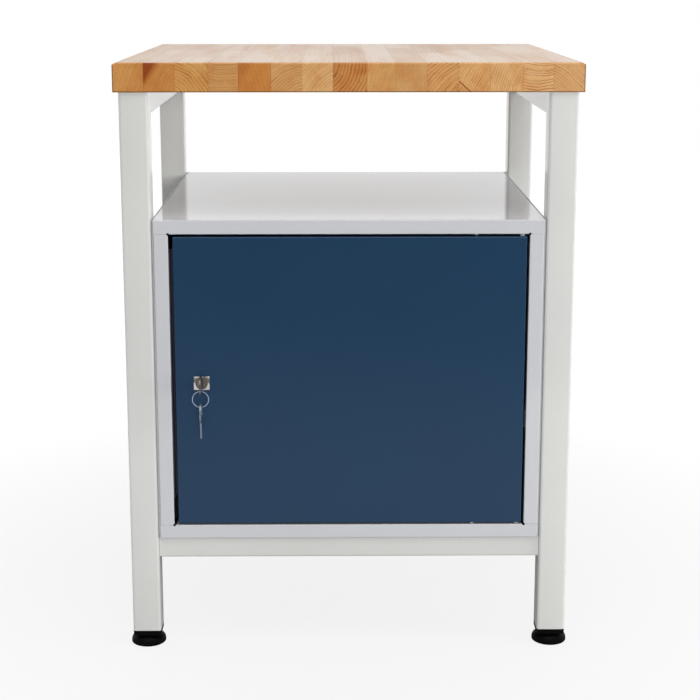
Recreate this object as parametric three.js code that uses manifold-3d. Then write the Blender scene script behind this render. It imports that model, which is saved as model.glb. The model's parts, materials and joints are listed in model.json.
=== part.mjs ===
// A small workshop bench: a glued beech worktop on four square tube legs, with a
// steel cupboard between the legs, closed by one hinged door with a key lock.
// Millimetres, X to the right, Y to the back, Z up from the floor.
import * as THREE from 'three';
import { mergeVertices } from 'three/addons/utils/BufferGeometryUtils.js';
import Module from 'manifold-3d';

const wasm = await Module();
wasm.setup();

// Clearances shared by all pieces
const seam = 0.2; // between pieces that are welded together or rest on each other
const runningFit = 0.3; // all round a pin, a screw or a stud

// Worktop
const worktopWidth = 640;
const worktopDepth = 600;
const worktopThickness = 40;
const workingHeight = 840;
const sideEdgeAcross = 5;
const sideEdgeDown = 2.8;
const endEdgeChamfer = 1.5;

// Leg frame of square tube
const sideOverhang = 7; // worktop beyond the legs
const frontOverhang = 3;
const frameDepth = 545;
const legSize = 40;
const legCorner = 4;
const tubeWall = 2;
const legClearance = 23; // floor to the cut end of a leg
const lowerRailSize = 30;
const lowerRailBottom = 134;
const upperRailWidth = 30;
const upperRailHeight = 35;
const railCorner = 3;

// Plug in the end of each leg, and the levelling foot that screws into it
const plugFlange = 7;
const plugInsert = 20;
const studRadius = 5;
const studLength = 58;
const studChamfer = 1;
const studSeat = 4; // pad under the end of the stud
const padRadius = 25;
const padRim = 4;
const padHubRadius = 11;
const padHubHeight = 2;

// Tabs welded to the upper rails, each with one screw up into the worktop
const tabLength = 36;
const tabReach = 30;
const tabThickness = 4;
const tabSpacing = 300;
const topScrewRadius = 2.5;
const topScrewLength = 28;
const topScrewPoint = 3;
const topScrewHeadRadius = 6;
const topScrewHeadHeight = 4;
const topScrewHeadChamfer = 1;
const pilotSpare = 1; // pilot hole beyond the screw's point

// Cupboard of folded sheet
const grooveWidth = 2.8; // step in the sheet between the front frame and each leg
const grooveDepth = 7;
const cupboardRearInset = 1; // from the back of the rear legs
const cupboardHeight = 461;
const sheet = 1;
const faceBar = 20; // visible width of the front frame
const lipDepth = 20; // returns behind the front frame
const wallFlange = 18; // walls turned in over the floor and under the top
const reliefRadius = 2; // holes at the corners of the front opening
const lipEndGap = 3; // from a return's end to the opening's corner
const foldStub = 0.5; // left of a fold where its flange is cut away
const catchBottomNotch = 39; // lock side return stops short of the opening
const catchTopNotch = 24.5;
const stopReach = 10; // door stop behind the door's free edge
const bufferThickness = 1.2; // strip stuck to the lock side return and the stop
const bufferSetback = 2; // from the front
const bufferDoorGap = 1.4; // to the door's free edge

// Slots in the walls, shelf clips and shelf
const slotWidth = 4;
const slotHeight = 14;
const slotPitch = 32;
const slotCount = 8;
const firstSlot = 100;
const slotInset = 80; // from the front and from the back
const shelfSlot = 2; // slot that the clips hang in, counted from 0
const clipPlate = 1.5;
const clipWidth = 16;
const clipHeight = 22;
const clipReach = 16;
const clipTongueHeight = 10;
const clipTongueOut = 1.5; // beyond the wall
const shelfSideGap = 2.5;
const shelfFront = 45;
const shelfRearGap = 6;
const shelfDrop = 25;
const shelfReturn = 10;

// Door, a folded tray
const doorLockGap = 6;
const doorPivotGap = 3.5;
const doorTopGap = 3.5;
const doorBottomGap = 2.5;
const doorThickness = 20;
const doorLip = 12;
const stopGap = 1; // closed door to its stop
const hatCrown = 30;
const hatFoot = 14;
const hatDepth = 14;
const hatEndGap = 22;

// Pivots at the right corners of the door
const pinRadius = 2;
const pinInset = 6.5; // from the door's edge
const pinSetback = 6; // from the door's face
const pinReach = 12; // into the door
const pinHeadRadius = 3.5;
const pinHeadHeight = 1.5;
const pinChamfer = 0.7;
const bushWall = 0.7;
const bushDepth = 7;
const bushFlangeRadius = 3.8;
const hingePlateThickness = 2;
const hingePlateEdge = 1; // short of the return's back edge
const hingePlateEnd = 8; // beyond the rivet
const rivetOffset = 64; // from the pin
const rivetRadius = 1.6;
const rivetHeadRadius = 2.8;
const rivetHeadHeight = 1.8;
const rivetTailRadius = 2.5;
const rivetTailHeight = 1.2;
const rivetCrownRadius = 1.7; // flat on the head and on the tail

// Cam lock in the door, with its keys
const lockInset = 37; // from the door's free edge
const rosetteWidth = 22;
const rosetteTall = 19.4;
const rosetteHeight = 3;
const rosetteFrontRadius = 8.8; // flat round the collar
const rosetteBackRadius = 16.6; // of the cone that takes off its corners
const collarRadius = 8.3;
const collarHeight = 2;
const barrelRadius = 9;
const barrelLength = 20;
const lockNutAcross = 24;
const lockNutHeight = 5;
const plugRadius = 7;
const plugRecess = 0.4;
const shankSide = 8;
const camThickness = 2.5;
const camWidth = 18;
const camCatch = 12; // reach past the inner edge of the front frame
const camGap = 0.8; // behind the door stop
const camScrewRadius = 2.5;
const camScrewDepth = 6;
const camScrewHeadRadius = 4.5;
const camScrewHeadHeight = 3;
const keyThickness = 2.2;
const bladeHeight = 8;
const bladeTip = 16; // behind the door's face
const keyShoulder = 2;
const shoulderHeight = 11;
const bowRadius = 14;
const bowHoleRadius = 7;
const bowHoleOffset = 2.5;
const biteDepth = 2;
const biteWidth = 3;
const biteCount = 3;
const ringRadius = 11.35;
const ringWire = 0.65;

// Number of sides on round pieces
const roundSides = 24;
const ringSides = 32;
const wireSides = 8;
const cornerSteps = 4;

// Finishes
const beech = { color: 0xc89a66, roughness: 0.5, metalness: 0 };
const frameGrey = { color: 0xd3d2cf, roughness: 0.45, metalness: 0 };
const cupboardGrey = { color: 0xc8c9ce, roughness: 0.35, metalness: 0 };
const doorBlue = { color: 0x29435c, roughness: 0.4, metalness: 0 };
const zinc = { color: 0xb4b6b8, roughness: 0.4, metalness: 1 };
const nickel = { color: 0xc9c6c0, roughness: 0.22, metalness: 1 };
const blackPlastic = { color: 0x161616, roughness: 0.5, metalness: 0 };
const bufferGrey = { color: 0x34343f, roughness: 0.8, metalness: 0 };
const nylon = { color: 0x9aa3ad, roughness: 0.6, metalness: 0 };

// Levels and faces that the driving sizes give
const underside = workingHeight - worktopThickness;
const frameWidth = worktopWidth - 2 * sideOverhang;
const frameFront = -worktopDepth / 2 + frontOverhang;
const legX = (frameWidth - legSize) / 2;
const frontLegY = frameFront + legSize / 2;
const rearLegY = frameFront + frameDepth - legSize / 2;
const legTop = underside - seam;
const lowerRailMiddle = lowerRailBottom + lowerRailSize / 2;
const upperRailMiddle = legTop - upperRailHeight / 2;
const padTop = legClearance - plugFlange - seam - runningFit;

const cupboardWidth = frameWidth - 2 * legSize - 2 * seam;
const cupboardHalf = cupboardWidth / 2;
const faceHalf = cupboardHalf - grooveWidth;
const cupboardDepth = frameDepth - cupboardRearInset;
const cupboardBottom = lowerRailBottom + lowerRailSize + seam;
const panelRear = cupboardDepth - sheet - seam;
const wallInside = cupboardHalf - sheet;
const openingHalf = faceHalf - faceBar;
const openingTop = cupboardHeight - faceBar;
const catchLow = faceBar + catchBottomNotch;
const catchHigh = openingTop - catchTopNotch;

const doorLeft = -openingHalf + doorLockGap;
const doorRight = openingHalf - doorPivotGap;
const doorBottom = faceBar + doorBottomGap;
const doorTop = openingTop - doorTopGap;
const pinX = doorRight - pinInset;
const rivetX = pinX - rivetOffset;
const stopFront = doorThickness + stopGap;
const hingeSeat = sheet + seam + hingePlateThickness + seam; // heads beyond the opening's edge

const lockX = doorLeft + lockInset;
const lockZ = (doorBottom + doorTop) / 2;
const rosetteBack = -seam;
const rosetteFront = rosetteBack - rosetteHeight;
const collarFront = rosetteFront - collarHeight;
const plugFace = collarFront + plugRecess;
const camFront = stopFront + sheet + camGap;
const camRear = camFront + camThickness;
const camReach = lockInset + doorLockGap + camCatch;
const bowCentre = collarFront - keyShoulder - bowRadius;
const bowHole = bowCentre - bowHoleOffset;
const keyReach = bowRadius - bowHole; // the spare key hangs from its hole, bow to the front
const ringTopDrop = bowHoleRadius - ringWire - runningFit;

// Shapes

function solid(geometry) {
  const bare = geometry.clone();
  bare.deleteAttribute('normal');
  bare.deleteAttribute('uv');
  const merged = mergeVertices(bare, 1e-4);
  const index = merged.index.array;
  const triangles = [];
  for (let i = 0; i < index.length; i += 3) {
    const corners = [index[i], index[i + 1], index[i + 2]];
    if (new Set(corners).size === 3) triangles.push(...corners);
  }
  return new wasm.Manifold(new wasm.Mesh({
    numProp: 3,
    vertProperties: new Float32Array(merged.attributes.position.array),
    triVerts: new Uint32Array(triangles),
  }));
}

function geometryOf(body) {
  const mesh = body.getMesh();
  const geometry = new THREE.BufferGeometry();
  geometry.setAttribute('position', new THREE.BufferAttribute(mesh.vertProperties, 3));
  geometry.setIndex(new THREE.BufferAttribute(mesh.triVerts, 1));
  geometry.computeVertexNormals();
  return geometry;
}

function join(...shapes) {
  return geometryOf(shapes.map(solid).reduce((whole, next) => whole.add(next)));
}

function cut(shape, ...tools) {
  return geometryOf(tools.map(solid).reduce((whole, tool) => whole.subtract(tool), solid(shape)));
}

function common(shape, other) {
  return geometryOf(solid(shape).intersect(solid(other)));
}

function block(x0, x1, y0, y1, z0, z1) {
  const geometry = new THREE.BoxGeometry(Math.abs(x1 - x0), Math.abs(y1 - y0), Math.abs(z1 - z0));
  return geometry.translate((x0 + x1) / 2, (y0 + y1) / 2, (z0 + z1) / 2);
}

function rodZ(radius, x, y, z0, z1) {
  const geometry = new THREE.CylinderGeometry(radius, radius, z1 - z0, roundSides);
  return geometry.rotateX(Math.PI / 2).translate(x, y, (z0 + z1) / 2);
}

function rodY(radius, x, z, y0, y1, sides = roundSides) {
  const geometry = new THREE.CylinderGeometry(radius, radius, y1 - y0, sides);
  return geometry.translate(x, (y0 + y1) / 2, z);
}

// A piece turned about the vertical axis, from a profile of [radius, height] points.
function turned(profile) {
  const points = profile.map(([radius, height]) => new THREE.Vector2(radius, height));
  return geometryOf(solid(new THREE.LatheGeometry(points, roundSides).rotateX(Math.PI / 2)));
}

function polygon(points) {
  return new THREE.Shape(points.map(([x, y]) => new THREE.Vector2(x, y)));
}

function roundedRectangle(width, height, corner, Kind = THREE.Shape) {
  const outline = new Kind();
  const x = width / 2 - corner;
  const y = height / 2 - corner;
  outline.absarc(x, y, corner, 0, Math.PI / 2);
  outline.absarc(-x, y, corner, Math.PI / 2, Math.PI);
  outline.absarc(-x, -y, corner, Math.PI, 1.5 * Math.PI);
  outline.absarc(x, -y, corner, 1.5 * Math.PI, 2 * Math.PI);
  outline.closePath();
  return outline;
}

function tubeSection(width, height, corner) {
  const section = roundedRectangle(width, height, corner);
  const innerCorner = Math.max(corner - tubeWall, tubeWall / 2);
  section.holes.push(
    roundedRectangle(width - 2 * tubeWall, height - 2 * tubeWall, innerCorner, THREE.Path),
  );
  return section;
}

function alongZ(section, length, steps = cornerSteps) {
  const options = { depth: length, bevelEnabled: false, curveSegments: steps };
  return new THREE.ExtrudeGeometry(section, options);
}

// The section's first axis becomes Y and its second Z.
function alongX(section, length, steps = cornerSteps) {
  const turn = new THREE.Matrix4().makeBasis(
    new THREE.Vector3(0, 1, 0),
    new THREE.Vector3(0, 0, 1),
    new THREE.Vector3(1, 0, 0),
  );
  return alongZ(section, length, steps).applyMatrix4(turn).translate(-length / 2, 0, 0);
}

// The section's first axis becomes X and its second Z.
function alongY(section, length, steps = cornerSteps) {
  return alongZ(section, length, steps).rotateX(Math.PI / 2).translate(0, length, 0);
}

function addPiece(parent, name, geometry, finish, x = 0, y = 0, z = 0) {
  const mesh = new THREE.Mesh(geometry, new THREE.MeshStandardMaterial(finish));
  mesh.name = name;
  mesh.position.set(x, y, z);
  parent.add(mesh);
  return mesh;
}

const bench = new THREE.Group();

const corners = [
  { label: 'front_left', side: -1, y: frontLegY, tabY: -tabSpacing / 2 },
  { label: 'front_right', side: 1, y: frontLegY, tabY: -tabSpacing / 2 },
  { label: 'rear_left', side: -1, y: rearLegY, tabY: tabSpacing / 2 },
  { label: 'rear_right', side: 1, y: rearLegY, tabY: tabSpacing / 2 },
];
const sides = [
  { label: 'left', side: -1 },
  { label: 'right', side: 1 },
];
const railMiddleY = (frontLegY + rearLegY) / 2;
const tabInnerX = legX - upperRailWidth / 2 - seam;
const topScrewX = tabInnerX - tabReach / 2;
const tabBottom = legTop - tabThickness;
const topScrewSeat = tabBottom - seam;

// Worktop of glued staves, with eased upper edges and a pilot hole for each screw.
function worktop() {
  const half = worktopWidth / 2;
  const depthHalf = worktopDepth / 2;
  const section = polygon([
    [-half, 0],
    [half, 0],
    [half, worktopThickness - sideEdgeDown],
    [half - sideEdgeAcross, worktopThickness],
    [-half + sideEdgeAcross, worktopThickness],
    [-half, worktopThickness - sideEdgeDown],
  ]);
  const c = endEdgeChamfer;
  const edgeCuts = [-1, 1].map((end) => {
    const wedge = [
      [end * (depthHalf + c), worktopThickness - 2 * c],
      [end * (depthHalf - 2 * c), worktopThickness + c],
      [end * (depthHalf + c), worktopThickness + c],
    ];
    return alongX(polygon(end > 0 ? wedge.reverse() : wedge), worktopWidth + 2 * c);
  });
  const pilotTop = topScrewSeat + topScrewLength + pilotSpare - underside;
  const pilots = corners.map(({ side, tabY }) => rodZ(
    topScrewRadius + runningFit,
    side * topScrewX,
    railMiddleY + tabY,
    -worktopThickness / 2,
    pilotTop,
  ));
  const slab = alongY(section, worktopDepth).translate(0, -depthHalf, 0);
  return cut(slab, ...edgeCuts, ...pilots);
}

addPiece(bench, 'worktop', worktop(), beech, 0, 0, underside);

// Legs, their end plugs and the levelling feet
function legPlug() {
  const inside = legSize - 2 * tubeWall - 2 * runningFit;
  const flange = alongZ(roundedRectangle(legSize, legSize, legCorner), plugFlange);
  const insertSection = roundedRectangle(inside, inside, legCorner - tubeWall);
  const insert = alongZ(insertSection, plugFlange / 2 + plugInsert);
  const bore = rodZ(studRadius + runningFit, 0, 0, -plugFlange, 2 * plugFlange + plugInsert);
  return cut(join(flange, insert.translate(0, 0, plugFlange / 2)), bore);
}

function levellingPad() {
  const bore = studRadius + runningFit;
  const domeHeight = padTop - padHubHeight - padRim;
  const dome = [];
  for (let i = 0; i <= cornerSteps; i += 1) {
    const angle = (i / cornerSteps) * Math.PI / 2;
    const radius = padHubRadius + (padRadius - padHubRadius) * Math.cos(angle);
    dome.push([radius, padRim + domeHeight * Math.sin(angle)]);
  }
  return turned([
    [0, 0],
    [padRadius - padRim / 4, 0],
    [padRadius, padRim / 4],
    ...dome,
    [padHubRadius, padTop],
    [bore, padTop],
    [bore, studSeat],
    [0, studSeat],
  ]);
}

function levellingStud() {
  const foot = studSeat + runningFit;
  const top = foot + studLength;
  return turned([
    [0, foot],
    [studRadius - studChamfer, foot],
    [studRadius, foot + studChamfer],
    [studRadius, top - studChamfer],
    [studRadius - studChamfer, top],
    [0, top],
  ]);
}

for (const { label, side, y } of corners) {
  const leg = alongZ(tubeSection(legSize, legSize, legCorner), legTop - legClearance);
  const x = side * legX;
  addPiece(bench, `leg_${label}`, leg, frameGrey, x, y, legClearance);
  addPiece(bench, `leg_plug_${label}`, legPlug(), blackPlastic, x, y, legClearance - plugFlange - seam);
  addPiece(bench, `levelling_pad_${label}`, levellingPad(), blackPlastic, x, y);
  addPiece(bench, `levelling_stud_${label}`, levellingStud(), zinc, x, y);
}

// Rails welded between the legs
const lowerRail = tubeSection(lowerRailSize, lowerRailSize, railCorner);
const upperRail = tubeSection(upperRailWidth, upperRailHeight, railCorner);
const crossLength = 2 * legX - legSize - 2 * seam;
const sideLength = rearLegY - frontLegY - legSize - 2 * seam;
const sideStart = frontLegY + legSize / 2 + seam;

for (const [label, y] of [['front', frontLegY], ['rear', rearLegY]]) {
  const rail = alongX(lowerRail, crossLength);
  addPiece(bench, `lower_rail_${label}`, rail, frameGrey, 0, y, lowerRailMiddle);
}
for (const { label, side } of sides) {
  const x = side * legX;
  const lower = alongY(lowerRail, sideLength);
  const upper = alongY(upperRail, sideLength);
  addPiece(bench, `lower_rail_${label}`, lower, frameGrey, x, sideStart, lowerRailMiddle);
  addPiece(bench, `upper_rail_${label}`, upper, frameGrey, x, sideStart, upperRailMiddle);
}

// Tabs on the upper rails, and the screws that hold the worktop down
function worktopScrew() {
  return turned([
    [0, -topScrewHeadHeight],
    [topScrewHeadRadius - topScrewHeadChamfer, -topScrewHeadHeight],
    [topScrewHeadRadius, -topScrewHeadHeight + topScrewHeadChamfer],
    [topScrewHeadRadius, 0],
    [topScrewRadius, 0],
    [topScrewRadius, topScrewLength - topScrewPoint],
    [0, topScrewLength],
  ]);
}

for (const { label, side, tabY } of corners) {
  const y = railMiddleY + tabY;
  const plate = block(0, -side * tabReach, -tabLength / 2, tabLength / 2, 0, tabThickness);
  const hole = rodZ(topScrewRadius + runningFit, -side * tabReach / 2, 0, -seam, tabThickness + seam);
  addPiece(bench, `worktop_tab_${label}`, cut(plate, hole), frameGrey, side * tabInnerX, y, tabBottom);
  addPiece(bench, `worktop_screw_${label}`, worktopScrew(), zinc, side * topScrewX, y, topScrewSeat);
}

// The cupboard stands on the front and rear lower rails, its face level with the legs.
const cupboard = new THREE.Group();
cupboard.position.set(0, frameFront, cupboardBottom);
bench.add(cupboard);

const reliefs = [];
for (const x of [-openingHalf, openingHalf]) {
  for (const z of [faceBar, openingTop]) {
    reliefs.push(rodY(reliefRadius, x, z, -sheet, 2 * sheet, wireSides));
  }
}

// Floor or top: a sheet with a folded front bar and a return behind it. The
// return takes the pivot pin and the rivet of the hinge plate. The top lies
// between the walls, the floor under them.
function deck(upper) {
  const z = (height) => (upper ? cupboardHeight - height : height);
  const fold = alongX(polygon([
    [0, z(0)],
    [panelRear, z(0)],
    [panelRear, z(sheet)],
    [sheet, z(sheet)],
    [sheet, z(faceBar - sheet)],
    [lipDepth, z(faceBar - sheet)],
    [lipDepth, z(faceBar)],
    [0, z(faceBar)],
  ]), upper ? 2 * faceHalf : cupboardWidth);
  const low = z(faceBar) - 2 * sheet;
  const high = z(faceBar) + 2 * sheet;
  const tools = [
    rodZ(pinRadius + runningFit, pinX, pinSetback, low, high),
    rodZ(rivetRadius + runningFit, rivetX, pinSetback, low, high),
  ];
  for (const { side } of sides) {
    const inner = side * (openingHalf - lipEndGap);
    const outer = side * (cupboardHalf + sheet);
    tools.push(block(inner, outer, sheet + foldStub, lipDepth + sheet, low, high));
    if (!upper) tools.push(block(side * faceHalf, outer, -sheet, grooveDepth, -sheet, cupboardHeight));
  }
  return cut(fold, ...tools, ...reliefs);
}

addPiece(cupboard, 'cupboard_floor', deck(false), cupboardGrey);
addPiece(cupboard, 'cupboard_top', deck(true), cupboardGrey);

const back = block(-cupboardHalf, cupboardHalf, cupboardDepth - sheet, cupboardDepth, 0, cupboardHeight);
addPiece(cupboard, 'cupboard_back', back, cupboardGrey);

// Slots run up each wall in two columns.
const slotColumns = [
  { label: 'front', y: slotInset },
  { label: 'rear', y: cupboardDepth - slotInset },
];

function slotZ(i) {
  return firstSlot + i * slotPitch;
}

// Side wall, folded to the front upright of the face frame, with a step where it meets
// the leg. Its sheet stands up to the level of the top. The wall on the lock side also
// carries the return that the lock catches and the stop for the door.
function wall(side) {
  const x = (value) => side * value;
  const lockSide = side < 0;
  const low = sheet + seam;
  const high = cupboardHeight - sheet - seam;
  const beyond = openingHalf - 2 * faceBar;
  const deep = stopFront + faceBar;
  const barRear = sheet + foldStub + seam;
  const faceInside = faceHalf - sheet;
  const stopEdge = -doorLeft - stopReach;
  const hook = lockSide
    ? [[openingHalf, stopFront], [stopEdge, stopFront], [stopEdge, stopFront + sheet]]
    : [[openingHalf, lipDepth]];
  const hookRear = lockSide ? stopFront + sheet : lipDepth;
  const plan = [
    [faceHalf, 0],
    [openingHalf, 0],
    ...hook,
    [openingHalf + sheet, hookRear],
    [openingHalf + sheet, sheet],
    [faceInside, sheet],
    [faceInside, grooveDepth + sheet],
    [wallInside, grooveDepth + sheet],
    [wallInside, panelRear],
    [cupboardHalf, panelRear],
    [cupboardHalf, grooveDepth],
    [faceHalf, grooveDepth],
  ];
  const section = polygon(plan.map(([px, py]) => [x(px), py]));
  const upright = alongZ(section, cupboardHeight - low).translate(0, 0, low);
  const flanges = [low + foldStub, high - foldStub - sheet].map((z) => block(
    x(cupboardHalf - sheet / 2),
    x(cupboardHalf - wallFlange),
    lipDepth + lipEndGap,
    panelRear - foldStub,
    z,
    z + sheet,
  ));
  // Above and below the upright only the wall itself runs on, behind the deck's front bar.
  const clearance = [
    [cupboardHalf + faceBar, -faceBar],
    [beyond, -faceBar],
    [beyond, deep],
    [faceInside - foldStub, deep],
    [faceInside - foldStub, barRear],
    [cupboardHalf + faceBar, barRear],
  ];
  const returnLow = lockSide ? catchLow : faceBar + lipEndGap;
  const returnHigh = lockSide ? catchHigh : openingTop - lipEndGap;
  const ends = [
    { clear: [openingTop - seam, openingTop + 2 * faceBar], notch: [returnHigh, openingTop] },
    { clear: [0, faceBar + seam], notch: [faceBar, returnLow] },
  ];
  const tools = [
    block(x(beyond), x(wallInside), -faceBar, cupboardDepth + faceBar, high, cupboardHeight + faceBar),
  ];
  for (const { clear: [from, to], notch } of ends) {
    const prism = alongZ(polygon(clearance.map(([px, py]) => [x(px), py])), to - from);
    tools.push(
      prism.translate(0, 0, from),
      block(x(openingHalf + 2 * sheet), x(beyond), sheet + foldStub, deep, ...notch),
    );
  }
  for (const { y } of slotColumns) {
    for (let i = 0; i < slotCount; i += 1) {
      const z = slotZ(i);
      tools.push(block(
        x(cupboardHalf + sheet),
        x(wallInside - sheet),
        y - slotWidth / 2,
        y + slotWidth / 2,
        z - slotHeight / 2,
        z + slotHeight / 2,
      ));
    }
  }
  return cut(join(upright, ...flanges), ...tools, ...reliefs);
}

// Clip that hangs in a wall slot and carries a corner of the shelf
function shelfClip(side) {
  const inner = side * (wallInside - seam);
  const half = clipWidth / 2;
  const top = clipHeight / 2;
  const tongueHalf = slotWidth / 2 - runningFit;
  const angle = alongY(polygon([
    [inner, -top],
    [inner, top],
    [inner - side * clipReach, top],
    [inner - side * clipReach, top - clipPlate],
    [inner - side * clipPlate, top - clipPlate],
    [inner - side * clipPlate, -top],
  ]), clipWidth).translate(0, -half, 0);
  const tongue = block(
    inner - side * clipPlate / 2,
    side * (cupboardHalf + clipTongueOut),
    -tongueHalf,
    tongueHalf,
    -clipTongueHeight / 2,
    clipTongueHeight / 2,
  );
  return join(angle, tongue);
}

for (const { label, side } of sides) {
  addPiece(cupboard, `cupboard_wall_${label}`, wall(side), cupboardGrey);
  for (const column of slotColumns) {
    const name = `shelf_clip_${column.label}_${label}`;
    addPiece(cupboard, name, shelfClip(side), zinc, 0, column.y, slotZ(shelfSlot));
  }
}

// Soft angle strip in the corner of the lock side return and the stop, facing the
// door's free edge
const bufferLeft = -openingHalf + seam;
const bufferRight = doorLeft - bufferDoorGap;
const bufferRear = stopFront - seam;
const buffer = alongZ(polygon([
  [bufferLeft, bufferSetback],
  [bufferLeft + bufferThickness, bufferSetback],
  [bufferLeft + bufferThickness, bufferRear - bufferThickness],
  [bufferRight, bufferRear - bufferThickness],
  [bufferRight, bufferRear],
  [bufferLeft, bufferRear],
]), catchHigh - catchLow).translate(0, 0, catchLow);
addPiece(cupboard, 'door_buffer', buffer, bufferGrey);

// Loose shelf on the four clips, folded down along its front and back
function shelf() {
  const front = shelfFront;
  const rear = panelRear - shelfRearGap;
  const hem = sheet - shelfDrop;
  return alongX(polygon([
    [front, sheet],
    [front, hem],
    [front + shelfReturn, hem],
    [front + shelfReturn, hem + sheet],
    [front + sheet, hem + sheet],
    [front + sheet, 0],
    [rear - sheet, 0],
    [rear - sheet, hem],
    [rear, hem],
    [rear, sheet],
  ]), 2 * (wallInside - shelfSideGap));
}

addPiece(cupboard, 'inner_shelf', shelf(), cupboardGrey, 0, 0, slotZ(shelfSlot) + clipHeight / 2 + seam);

// Door tray with its edges folded back, and a hat section stiffener welded inside
function doorSkin() {
  const lipFront = doorThickness - sheet;
  const hollow = alongZ(polygon([
    [doorLeft + sheet, sheet],
    [doorRight - sheet, sheet],
    [doorRight - sheet, lipFront],
    [doorRight - doorLip, lipFront],
    [doorRight - doorLip, 2 * doorThickness],
    [doorLeft + doorLip, 2 * doorThickness],
    [doorLeft + doorLip, lipFront],
    [doorLeft + sheet, lipFront],
  ]), doorTop - doorBottom - 2 * sheet).translate(0, 0, doorBottom + sheet);
  const bushHole = pinRadius + runningFit + bushWall + runningFit;
  return cut(
    block(doorLeft, doorRight, 0, doorThickness, doorBottom, doorTop),
    hollow,
    rodY(barrelRadius + runningFit, lockX, lockZ, -sheet, 2 * sheet),
    rodZ(bushHole, pinX, pinSetback, doorBottom - sheet, doorBottom + 2 * sheet),
    rodZ(bushHole, pinX, pinSetback, doorTop - 2 * sheet, doorTop + sheet),
  );
}

function doorStiffener() {
  const crown = hatCrown / 2;
  const foot = crown + hatFoot;
  const skinSide = sheet + seam;
  const rear = skinSide + hatDepth;
  const section = polygon([
    [-foot, skinSide],
    [-crown + sheet, skinSide],
    [-crown + sheet, rear - sheet],
    [crown - sheet, rear - sheet],
    [crown - sheet, skinSide],
    [foot, skinSide],
    [foot, skinSide + sheet],
    [crown, skinSide + sheet],
    [crown, rear],
    [-crown, rear],
    [-crown, skinSide + sheet],
    [-foot, skinSide + sheet],
  ]);
  return alongZ(section, doorTop - doorBottom - 2 * hatEndGap);
}

addPiece(cupboard, 'door_skin', doorSkin(), doorBlue);
const doorMiddle = (doorLeft + doorRight) / 2;
addPiece(cupboard, 'door_stiffener', doorStiffener(), doorBlue, doorMiddle, 0, doorBottom + hatEndGap);

// Pivots. Heights are counted from the edge of the opening, outwards from the
// door; the lower set is the upper one turned over.
function hingeBush(gap) {
  const bore = pinRadius + runningFit;
  const outside = bore + bushWall;
  return turned([
    [bore, -gap - bushDepth],
    [outside, -gap - bushDepth],
    [outside, -gap + seam],
    [bushFlangeRadius, -gap + seam],
    [bushFlangeRadius, -runningFit],
    [bore, -runningFit],
    [bore, -gap - bushDepth],
  ]);
}

function hingePin(gap) {
  return turned([
    [0, -gap - pinReach],
    [pinRadius - pinChamfer, -gap - pinReach],
    [pinRadius, -gap - pinReach + pinChamfer],
    [pinRadius, hingeSeat],
    [pinHeadRadius, hingeSeat],
    [pinHeadRadius, hingeSeat + pinHeadHeight],
    [0, hingeSeat + pinHeadHeight],
  ]);
}

function hingeRivet() {
  return turned([
    [0, -seam - rivetHeadHeight],
    [rivetCrownRadius, -seam - rivetHeadHeight],
    [rivetHeadRadius, -seam],
    [rivetRadius, -seam],
    [rivetRadius, hingeSeat],
    [rivetTailRadius, hingeSeat],
    [rivetCrownRadius, hingeSeat + rivetTailHeight],
    [0, hingeSeat + rivetTailHeight],
  ]);
}

function hingePlate() {
  const low = sheet + seam;
  const high = low + hingePlateThickness;
  const plate = block(
    rivetX - hingePlateEnd,
    openingHalf - lipEndGap,
    sheet + seam - pinSetback,
    lipDepth - hingePlateEdge - pinSetback,
    low,
    high,
  );
  return cut(
    plate,
    rodZ(pinRadius + runningFit, pinX, 0, low - sheet, high + sheet),
    rodZ(rivetRadius + runningFit, rivetX, 0, low - sheet, high + sheet),
  );
}

function hingeSet(label, edgeZ, gap, turn) {
  const plate = hingePlate();
  if (turn) plate.applyMatrix4(new THREE.Matrix4().makeScale(1, 1, -1));
  if (turn) plate.setIndex(new THREE.BufferAttribute(plate.index.array.slice().reverse(), 1));
  addPiece(cupboard, `hinge_plate_${label}`, plate, zinc, 0, pinSetback, edgeZ);
  const round = [
    [`hinge_pin_${label}`, hingePin(gap), zinc, pinX],
    [`hinge_rivet_${label}`, hingeRivet(), cupboardGrey, rivetX],
    [`hinge_bush_${label}`, hingeBush(gap), nylon, pinX],
  ];
  for (const [name, geometry, finish, x] of round) {
    const mesh = addPiece(cupboard, name, geometry, finish, x, pinSetback, edgeZ);
    if (turn) mesh.rotation.x = Math.PI;
  }
}

hingeSet('upper', openingTop, doorTopGap, false);
hingeSet('lower', faceBar, doorBottomGap, true);

// Cam lock. Its own axes start on the lock's axis, at the face of the door.
const lock = new THREE.Group();
lock.position.set(lockX, 0, lockZ);
cupboard.add(lock);

function lockBody() {
  const half = rosetteWidth / 2;
  const tall = rosetteTall / 2;
  const plate = block(-half, half, rosetteFront, rosetteBack, -tall, tall);
  const cone = new THREE.CylinderGeometry(
    rosetteBackRadius,
    rosetteFrontRadius,
    rosetteHeight,
    2 * roundSides,
  );
  const rosette = common(plate, cone.translate(0, rosetteBack - rosetteHeight / 2, 0));
  const collar = rodY(collarRadius, 0, 0, collarFront, rosetteBack - rosetteHeight / 2);
  const barrel = rodY(barrelRadius, 0, 0, rosetteBack - rosetteHeight / 3, barrelLength);
  const bore = rodY(plugRadius + runningFit, 0, 0, collarFront - sheet, barrelLength + sheet);
  return cut(join(rosette, collar, barrel), bore);
}

function lockNut() {
  const corner = lockNutAcross / Math.sqrt(3);
  const start = sheet + seam;
  const hex = rodY(corner, 0, 0, start, start + lockNutHeight, 6);
  return cut(hex, rodY(barrelRadius + runningFit, 0, 0, 0, start + 2 * lockNutHeight));
}

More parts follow.
